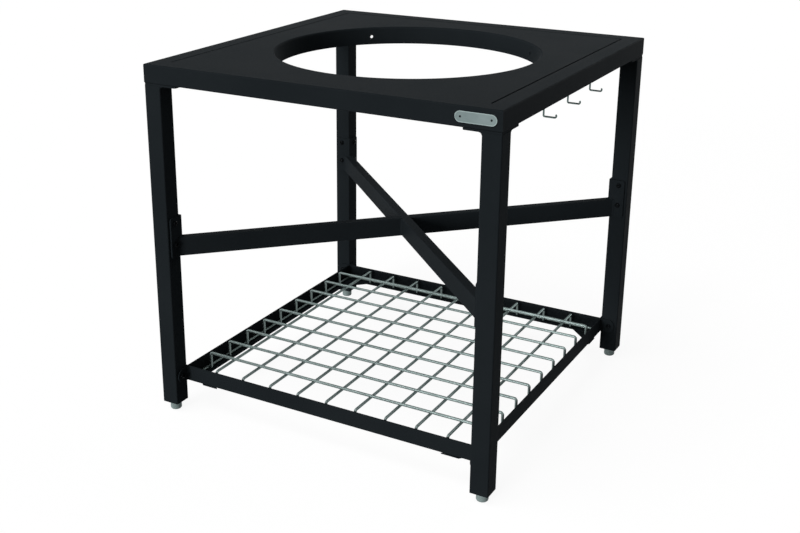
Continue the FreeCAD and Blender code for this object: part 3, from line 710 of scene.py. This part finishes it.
def stitches(start, end, count, length, along_one, along_other):
    """Short beads, evenly spaced between two points."""
    start = Vector(start)
    step = (Vector(end) - start) / count
    half = step.normalized() * (length / 2)
    middles = [start + step * (i + 0.5) for i in range(count)]
    return [straight(middle - half, middle + half, along_one, along_other) for middle in middles]


def circle_route(centre, radius, start, sweep, steps):
    """Stops on part of a circle round Z, in the corner outside a round wall and under a flat face."""
    route = []
    for i in range(steps + 1):
        angle = math.radians(start + sweep * i / steps)
        outward = Vector((math.cos(angle), math.sin(angle), 0))
        route.append(stop(Vector(centre) + outward * radius, outward, DOWN))
    return route


def add_rail_corner_welds():
    """Beads inside the mitred corners of the rails."""
    low = RAIL_BOTTOM + NEAR_END
    add_welds("rail_corner_welds", in_all_corners([
        straight((INNER, INNER, low), (INNER, INNER, LEDGE_BOTTOM), TO_LEFT, TO_FRONT)]), RAIL_CORNER_BEAD)


def add_ledge_welds():
    """Short beads under the ledges, along all four rails."""
    sides = []
    reach = INNER - LEDGE_END
    for side in (-1, 1):
        sides += stitches((side * INNER, -reach, LEDGE_BOTTOM), (side * INNER, reach, LEDGE_BOTTOM),
                          LEDGE_STITCHES, LEDGE_STITCH_LENGTH, (-side, 0, 0), DOWN)
        sides += stitches((-reach, side * INNER, LEDGE_BOTTOM), (reach, side * INNER, LEDGE_BOTTOM),
                          LEDGE_STITCHES, LEDGE_STITCH_LENGTH, (0, -side, 0), DOWN)
    add_welds("ledge_welds", sides, LEDGE_BEAD)


def add_collar_welds():
    """Short beads round the collar of the well, under the panel."""
    gap = 360.0 / COLLAR_STITCHES
    add_welds("collar_welds", [
        circle_route((0, 0, PANEL_BOTTOM), COLLAR_OUTSIDE, gap * i, COLLAR_STITCH_SWEEP, COLLAR_STITCH_STEPS)
        for i in range(COLLAR_STITCHES)], COLLAR_BEAD)


def add_flange_welds():
    """A bead round the two inner faces of each leg, under its flange plate."""
    end = HALF_SIDE - FAR_OFF_END
    add_welds("flange_welds", in_all_corners([[
        stop((INNER, end, LEG_TOP), TO_LEFT, DOWN),
        stop((INNER, INNER, LEG_TOP), INWARD, DOWN),
        stop((end, INNER, LEG_TOP), TO_FRONT, DOWN)]]), FLANGE_BEAD)


def add_brace_cross_welds():
    """Upright beads in the four corners where the half bars meet the through bar."""
    throat = BRACE_HALF_WIDTH * math.sqrt(2)
    low = BRACE_BOTTOM + OFF_END
    high = BRACE_TOP - OFF_END
    slant = math.sqrt(0.5)
    crossing = []
    for x, y in FOUR_WAYS:
        one = Vector((x - y, x + y, 0)) * slant
        other = Vector((x + y, y - x, 0)) * slant
        crossing.append(straight((x * throat, y * throat, low), (x * throat, y * throat, high), one, other))
    add_welds("brace_cross_welds", crossing, BRACE_CROSS_BEAD)


def add_brace_seam_welds():
    """Flat beads over and under the crossing, on the seams between the half bars and the through bar."""
    slant = math.sqrt(0.5)
    seams = []
    for side in (-1, 1):
        out = Vector((side * slant, side * slant, 0))
        run = Vector((slant, -slant, 0)) * (BRACE_HALF_WIDTH - NEAR_END)
        for level, facing in ((BRACE_TOP - SEAM_SUNK, UP), (BRACE_BOTTOM + SEAM_SUNK, DOWN)):
            middle = out * (BRACE_HALF_WIDTH - SEAM_INSIDE) + Vector((0, 0, level))
            seams.append(straight(middle - run, middle + run, out, -out, facing))
    add_welds("brace_seam_welds", seams, BRACE_SEAM_BEAD, FLAT_SEAM_SWELL)


def add_bracket_welds():
    """Beads on both sides of each bar's end and over it, where it meets its bracket."""
    side = BRACKET_FACE + BRACE_HALF_WIDTH * math.sqrt(2)
    low = BRACE_BOTTOM + OFF_END
    high = BRACE_TOP - OFF_END
    away = Vector(INWARD) * math.sqrt(0.5)
    add_welds("bracket_welds", in_all_corners([
        straight((side, BRACKET_FACE, low), (side, BRACKET_FACE, high), TO_RIGHT, away),
        straight((BRACKET_FACE, side, low), (BRACKET_FACE, side, high), TO_BACK, away),
        [stop((side - NEAR_END, BRACKET_FACE, BRACE_TOP), UP, TO_FRONT),
         stop((BRACKET_FACE, BRACKET_FACE, BRACE_TOP), UP, INWARD),
         stop((BRACKET_FACE, side - NEAR_END, BRACE_TOP), UP, TO_LEFT)]]), BRACKET_BEAD)


def add_shelf_corner_welds():
    """Upright beads inside the corners of the shelf frame."""
    inside = SHELF_WEB_INSIDE
    low = SHELF_FLOOR + NEAR_END
    high = SHELF_TOP - NEAR_END
    add_welds("shelf_corner_welds", in_all_corners([
        straight((inside, inside, low), (inside, inside, high), TO_LEFT, TO_FRONT)]), SHELF_CORNER_BEAD)


def add_lug_welds():
    """Upright beads between the lugs and the webs of the shelf frame."""
    low = SHELF_FLOOR + LUG_OFF_END
    high = SHELF_TOP - NEAR_END
    add_welds("lug_welds", in_all_corners([
        straight((INNER, LUG_INSIDE, low), (INNER, LUG_INSIDE, high), TO_RIGHT, TO_FRONT),
        straight((LUG_INSIDE, INNER, low), (LUG_INSIDE, INNER, high), TO_BACK, TO_LEFT)]), LUG_BEAD)


def add_corner_plate_welds():
    """Beads along the flanges of the shelf frame, on top of the plates across its corners.

    A plate is a slanting strip, so x and y have the same sum all along each of its two edges.
    """
    inset = SHELF_FLANGE_EDGE
    near = min(2 * INNER - CORNER_PLATE_NEAR - inset, inset) - FAR_OFF_END
    far = 2 * INNER - CORNER_PLATE_FAR - inset + FAR_OFF_END
    add_welds("corner_plate_welds", in_all_corners([
        straight((far, inset, SHELF_BOTTOM), (near, inset, SHELF_BOTTOM), UP, TO_FRONT),
        straight((inset, near, SHELF_BOTTOM), (inset, far, SHELF_BOTTOM), UP, TO_LEFT)]), CORNER_PLATE_BEAD)


def add_foot_plug_welds():
    """Flat beads on the seams between the legs and the threaded plugs in their lower ends."""
    routes = []
    half = FOOT_PLUG_HALF
    for x, y in FOUR_WAYS:
        middle = Vector((LEG_AXIS + half * x, LEG_AXIS + half * y, LEG_BOTTOM))
        run = Vector((y, x, 0)) * (half - NEAR_END)
        routes.append(straight(middle - run, middle + run, (x, y, 0), (-x, -y, 0), DOWN))
    add_welds("foot_plug_welds", in_all_corners(routes), FOOT_PLUG_BEAD, PLUG_SEAM_SWELL)


def add_hook_welds():
    """A small bead round each hook where it goes up into the right rail."""
    radius = HOOK_WIRE_RADIUS - HOOK_BEAD_SUNK
    add_welds("hook_welds", [
        circle_route((HOOK_SHANK, row, RAIL_BOTTOM), radius, 0, HOOK_BEAD_SWEEP, HOOK_BEAD_STEPS)
        for row in HOOK_ROWS], HOOK_BEAD)


def grid_line_places():
    """Where the grid's straight wires lie, across their own direction."""
    count = int(WIRE_SPAN // WIRE_PITCH)
    return [WIRE_PITCH * i for i in range(-count, count + 1)]


def nugget(centre, across_x, across_y, thick, draw):
    """A squeezed drop of metal where two wires were welded together."""
    rings = []
    for step in range(SPOT_STEPS + 1):
        angle = math.pi * (step / SPOT_STEPS - 0.5)
        reach = max(math.cos(angle), SPOT_TIP)
        rings.append([Vector((point.x * across_x, point.y * across_y, math.sin(angle) * thick))
                      * draw.uniform(*SPOT_SPREAD) + centre for point in ring(reach, 0.0, SPOT_SEGMENTS)])
    return skin(rings)


def add_spot_welds():
    """Spot welds where the grid's wires cross, and where they stand against the rim wire."""
    draw = random.Random("spot_welds")
    lines = grid_line_places()
    forms = []
    for x in lines:
        for y in lines:
            forms.append(nugget(Vector((x, y, WIRE_CONTACT)), SPOT_HALF, SPOT_HALF, SPOT_THIN, draw))
    touch = WIRE_SPAN + WIRE_RADIUS
    for line in lines:
        for side in (-1, 1):
            at_side = Vector((side * touch, line, RIM_LEVEL))
            at_front_or_back = Vector((line, side * touch, RIM_LEVEL))
            forms.append(nugget(at_side, SPOT_THIN, SPOT_HALF, SPOT_THICK, draw))
            forms.append(nugget(at_front_or_back, SPOT_HALF, SPOT_THIN, SPOT_THICK, draw))
    add_piece("grid_spot_welds", joined(forms), "grid_wire_steel", "shelf_grid")


# Screws, studs and rivets. Each is made along Z, with its seat at the origin and its head upwards.

def dome(outer, inner, low, high, steps):
    """Radius and height of points on a quarter of an oval, from the edge of a head to its crown."""
    points = []
    for i in range(steps + 1):
        angle = math.pi / 2 * i / steps
        points.append((inner + (outer - inner) * math.cos(angle), low + (high - low) * math.sin(angle)))
    return points


def socket_screw(length):
    """A dome-headed M6 screw with a hexagon socket and a cut thread."""
    top = SCREW_HEAD_HEIGHT
    floor = top - SOCKET_DEPTH
    rings = [
        ring(SCREW_ROOT, -NECK_LENGTH),
        ring(SCREW_ROOT, 0.0),
        ring(SCREW_HEAD - SCREW_HEAD_EDGE, 0.0),
        ring(SCREW_HEAD, SCREW_HEAD_EDGE),
    ]
    rings += [ring(radius, height) for radius, height in dome(SCREW_HEAD, SOCKET_RIM, SCREW_HEAD_RIM, top,
                                                              SCREW_DOME_STEPS)]
    rings += [
        hexagon(SOCKET_ACROSS + SOCKET_CHAMFER, top),
        hexagon(SOCKET_ACROSS, top - SOCKET_CHAMFER),
        hexagon(SOCKET_ACROSS, floor),
        ring(SOCKET_POINT_RADIUS, floor - SOCKET_POINT_DEPTH),
    ]
    return joined([skin(rings), thread(SCREW_CREST, SCREW_ROOT, SCREW_PITCH, -length, -THREAD_START)])


def aimed(form, outward, seat):
    """A form made along Z, turned to look outwards from its seat."""
    turn = Vector(outward).to_track_quat("Z", "Y").to_matrix().to_4x4()
    return moved(form, Matrix.Translation(seat) @ turn)


def in_corners(places):
    """Seats and directions of the back right corner, mirrored into all four corners."""
    found = []
    for side_x, side_y in CORNERS.values():
        for (x, y, z), (way_x, way_y, way_z) in places:
            found.append((Vector((side_x * x, side_y * y, z)), (side_x * way_x, side_y * way_y, way_z)))
    return found


def add_screws(name, node, length, places):
    """The screws of one CAD node, each turned about its axis by its own random angle."""
    draw = random.Random(name)
    forms = []
    for seat, outward in in_corners(places):
        turned = moved(socket_screw(length), Matrix.Rotation(draw.uniform(0, math.pi), 4, "Z"))
        forms.append(aimed(turned, outward, seat))
    piece = add_piece(name, joined(forms), "black_screws")
    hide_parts(node)


def add_all_screws():
    """The screws of the brackets, of the lugs and of the flange plates."""
    levels = [BRACE_BOTTOM + height for height in BRACKET_SCREW_HEIGHTS]
    add_screws("bracket_socket_screws", "brace_screws", SCREW_LENGTH, [
        place for level in levels for place in (
            ((BRACKET_FACE, LEG_AXIS, level), TO_LEFT), ((LEG_AXIS, BRACKET_FACE, level), TO_FRONT))])
    add_screws("lug_socket_screws", "shelf_lug_screws", SCREW_LENGTH, [
        ((LUG_INSIDE, LEG_AXIS, LUG_LEVEL), TO_LEFT), ((LEG_AXIS, LUG_INSIDE, LUG_LEVEL), TO_FRONT)])
    under = (FLANGE_EDGE + INNER) / 2
    add_screws("flange_socket_screws", "flange_screws", FLANGE_SCREW_LENGTH, [
        ((under, LEG_AXIS, LEG_TOP), DOWN), ((LEG_AXIS, under, LEG_TOP), DOWN)])


def foot_stud():
    """An M8 stud with a cut thread, and below it the round head that turns in the foot's pad."""
    bottom = STUD_BOTTOM
    collar = STUD_BOTTOM + STUD_HEAD_HEIGHT
    edge_radius = STUD_HEAD - STUD_HEAD_EDGE
    head = skin([
        ring(edge_radius, bottom),
        ring(STUD_HEAD, bottom + STUD_HEAD_EDGE),
        ring(STUD_HEAD, collar - STUD_HEAD_EDGE),
        ring(edge_radius, collar),
        ring(STUD_NECK, collar),
        ring(STUD_NECK, collar + STUD_NECK_LENGTH),
    ])
    shank = thread(STUD_CREST, STUD_ROOT, STUD_PITCH,
                   collar + STUD_THREAD_START, STUD_TOP - STUD_THREAD_END)
    tip = skin([
        ring(STUD_ROOT, STUD_TOP - STUD_TIP_LENGTH),
        ring(STUD_ROOT, STUD_TOP - STUD_TIP_CHAMFER),
        ring(STUD_POINT, STUD_TOP),
    ])
    return joined([head, shank, tip])


def add_studs():
    """A threaded stud for each foot, on the body that turns with it."""
    for corner, (side_x, side_y) in CORNERS.items():
        shift = Matrix.Translation((side_x * LEG_AXIS, side_y * LEG_AXIS, 0))
        piece = add_piece("threaded_stud_" + corner, moved(foot_stud(), shift), "zinc_plated_steel",
                          "foot_stud_" + corner)
        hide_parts("foot_stud_" + corner)


def badge_rivet():
    """A domed rivet with a dimpled middle."""
    rings = [ring(RIVET_SHANK, -BADGE_FIELD), ring(RIVET_SHANK, 0.0), ring(RIVET_HEAD, 0.0)]
    rings += [ring(radius, height) for radius, height in dome(RIVET_HEAD, DIMPLE_EDGE, RIVET_HEAD_RIM,
                                                              RIVET_HEAD_HEIGHT, RIVET_DOME_STEPS)]
    rings += [ring(radius, height) for radius, height in DIMPLE_RINGS]
    return skin(rings)


def add_badge_rivets():
    """Two rivets on the badge plate, left and right of its middle."""
    front = BADGE_BACK - BADGE_FIELD
    places = [Vector((BADGE_X + side * BADGE_RIVET_OFFSET, front, BADGE_Z)) for side in (-1, 1)]
    rivets = joined([aimed(badge_rivet(), TO_FRONT, place) for place in places])
    piece = add_piece("badge_dome_rivets", rivets, "badge_rivet_dark")
    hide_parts("badge_rivets")


add_rail_corner_welds()
add_ledge_welds()
add_collar_welds()
add_flange_welds()
add_brace_cross_welds()
add_brace_seam_welds()
add_bracket_welds()
add_shelf_corner_welds()
add_lug_welds()
add_corner_plate_welds()
add_foot_plug_welds()
add_hook_welds()
add_spot_welds()
add_all_screws()
add_studs()
add_badge_rivets()


# Floor, light and camera

def seen_rays(tree):
    """1 for rays from the camera and for reflected and refracted rays, 0 for scattered light."""
    path = add_node(tree, "ShaderNodeLightPath")
    direct = maths(tree, "MAXIMUM", path.outputs["Is Camera Ray"], path.outputs["Is Glossy Ray"])
    return maths(tree, "MAXIMUM", direct, path.outputs["Is Transmission Ray"])


def make_floor_finish():
    """Nearly white with soft shadows where it is seen, and grey for the light that it throws back."""
    material = bpy.data.materials.new("studio_floor")
    material.use_nodes = True
    tree = material.node_tree
    tree.nodes.clear()
    lit = add_node(tree, "ShaderNodeBsdfDiffuse")
    lit.inputs["Color"].default_value = (FLOOR_LIT,) * 3 + (1.0,)
    glow = add_node(tree, "ShaderNodeEmission")
    set_inputs(glow, {"Color": (1.0, 1.0, 1.0, 1.0), "Strength": FLOOR_GLOW})
    pale = add_node(tree, "ShaderNodeAddShader")
    bounce = add_node(tree, "ShaderNodeBsdfDiffuse")
    bounce.inputs["Color"].default_value = (FLOOR_BOUNCE,) * 3 + (1.0,)
    mix = add_node(tree, "ShaderNodeMixShader")
    output = add_node(tree, "ShaderNodeOutputMaterial")
    tree.links.new(lit.outputs[0], pale.inputs[0])
    tree.links.new(glow.outputs[0], pale.inputs[1])
    tree.links.new(seen_rays(tree), mix.inputs[0])
    tree.links.new(bounce.outputs[0], mix.inputs[1])
    tree.links.new(pale.outputs[0], mix.inputs[2])
    tree.links.new(mix.outputs[0], output.inputs["Surface"])
    return material


def make_floor():
    half = FLOOR_SIDE / 2
    level = -FLOOR_SINK * MM
    mesh = bpy.data.meshes.new("studio_floor")
    corners = [(-half, -half, level), (half, -half, level), (half, half, level), (-half, half, level)]
    mesh.from_pydata(corners, [], [(0, 1, 2, 3)])
    floor = bpy.data.objects.new("studio_floor", mesh)
    floor.data.materials.append(make_floor_finish())
    bpy.context.scene.collection.objects.link(floor)


def make_world():
    """White where it is seen, and a dim light from all sides."""
    world = bpy.data.worlds.new("studio")
    bpy.context.scene.world = world
    world.use_nodes = True
    tree = world.node_tree
    tree.nodes.clear()
    backdrop = add_node(tree, "ShaderNodeBackground")
    output = add_node(tree, "ShaderNodeOutputWorld")
    backdrop.inputs["Color"].default_value = (1.0, 1.0, 1.0, 1.0)
    tree.links.new(remap(tree, seen_rays(tree), 0.0, 1.0, WORLD_AMBIENT, 1.0), backdrop.inputs["Strength"])
    tree.links.new(backdrop.outputs[0], output.inputs["Surface"])


def add_lamp(name, settings):
    source, strength, angle = settings
    lamp = bpy.data.lights.new(name, "SUN")
    lamp.energy = strength
    lamp.angle = math.radians(angle)
    holder = bpy.data.objects.new(name, lamp)
    holder.rotation_mode = "QUATERNION"
    holder.rotation_quaternion = Vector(source).to_track_quat("Z", "Y")
    bpy.context.scene.collection.objects.link(holder)


def make_camera():
    around = math.radians(CAMERA_AZIMUTH)
    down = math.radians(CAMERA_DOWN)
    ahead = Vector((-math.sin(around) * math.cos(down), math.cos(around) * math.cos(down), -math.sin(down)))
    camera = bpy.data.cameras.new("camera")
    camera.sensor_width = 36.0
    camera.lens = CAMERA_LENS
    camera.shift_x, camera.shift_y = CAMERA_SHIFT
    camera.clip_end = 200.0
    holder = bpy.data.objects.new("camera", camera)
    holder.location = CAMERA_PLACE
    holder.rotation_mode = "QUATERNION"
    holder.rotation_quaternion = ahead.to_track_quat("-Z", "Y")
    bpy.context.scene.collection.objects.link(holder)
    bpy.context.scene.camera = holder


make_floor()
make_world()
add_lamp("key", KEY_LAMP)
add_lamp("top", TOP_LAMP)
add_lamp("back", BACK_LAMP)
add_lamp("side", SIDE_LAMP)
make_camera()
bpy.context.scene.view_settings.view_transform = "Standard"
